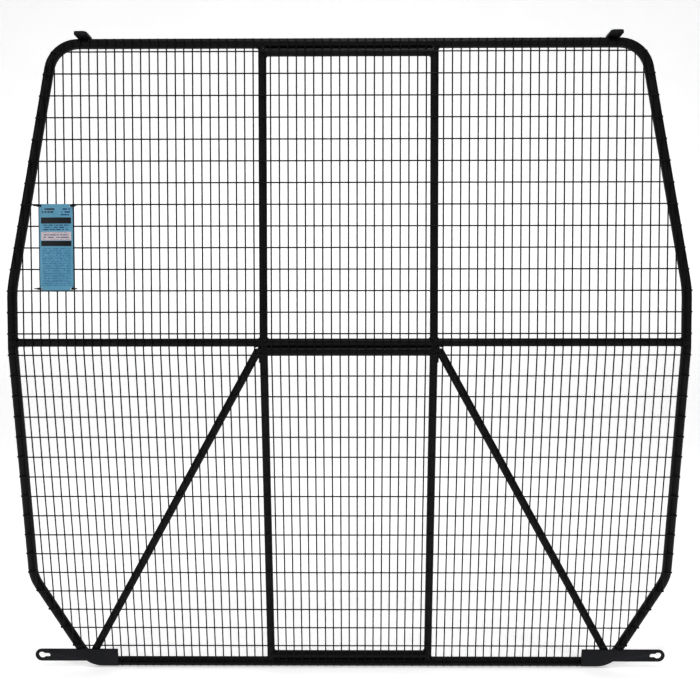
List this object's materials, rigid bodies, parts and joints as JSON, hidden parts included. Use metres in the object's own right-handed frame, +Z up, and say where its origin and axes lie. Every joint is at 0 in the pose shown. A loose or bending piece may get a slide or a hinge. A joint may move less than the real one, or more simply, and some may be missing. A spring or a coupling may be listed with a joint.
{
  "type": "vehicle cargo barrier",
  "caption": "Full-width welded mesh cargo barrier: bent tube frame, uprights and braces, wire mesh, roof tabs, keyhole floor brackets and a rating card.",
  "frame": {"origin": "midway between the two roof bolt holes, on the upper face of the roof tabs", "axes": "+X across the vehicle to the right of someone who looks at the mesh side, +Y away from that viewer, +Z up; the upper panel stands in the XZ plane and the lower panel leans towards +Y at its foot"},
  "size_m": [1.6052, 0.1762, 1.5425],
  "materials": {
    "powder_coat": "satin black powder coat",
    "bracket_coat": "satin black powder coat",
    "mesh_coat": "satin black powder coat",
    "weld_coat": "satin black powder coat over weld",
    "card": "printed blue plastic card",
    "tie_plastic": "black nylon"
  },
  "bodies": {
    "root": {"upper_hoop": "powder_coat", "lower_hoop": "powder_coat", "left_mid_rail": "powder_coat", "centre_mid_rail": "powder_coat", "right_mid_rail": "powder_coat", "top_bay_rail": "powder_coat", "fold_bay_rail": "powder_coat", "bottom_bay_rail": "powder_coat", "left_upper_upright": "powder_coat", "right_upper_upright": "powder_coat", "left_lower_upright": "powder_coat", "right_lower_upright": "powder_coat", "left_brace": "powder_coat", "right_brace": "powder_coat", "left_keyhole_bracket": "bracket_coat", "right_keyhole_bracket": "bracket_coat", "left_roof_tab": "bracket_coat", "right_roof_tab": "bracket_coat", "upper_line_wires": "mesh_coat", "lower_line_wires": "mesh_coat", "upper_cross_wires": "mesh_coat", "lower_cross_wires": "mesh_coat", "top_tack_welds": "weld_coat", "bottom_tack_welds": "weld_coat", "left_side_tack_welds": "weld_coat", "right_side_tack_welds": "weld_coat", "rating_card": "card", "top_left_cable_tie": "tie_plastic", "bottom_left_cable_tie": "tie_plastic", "top_right_cable_tie": "tie_plastic", "bottom_right_cable_tie": "tie_plastic"}
  },
  "joints": []
}
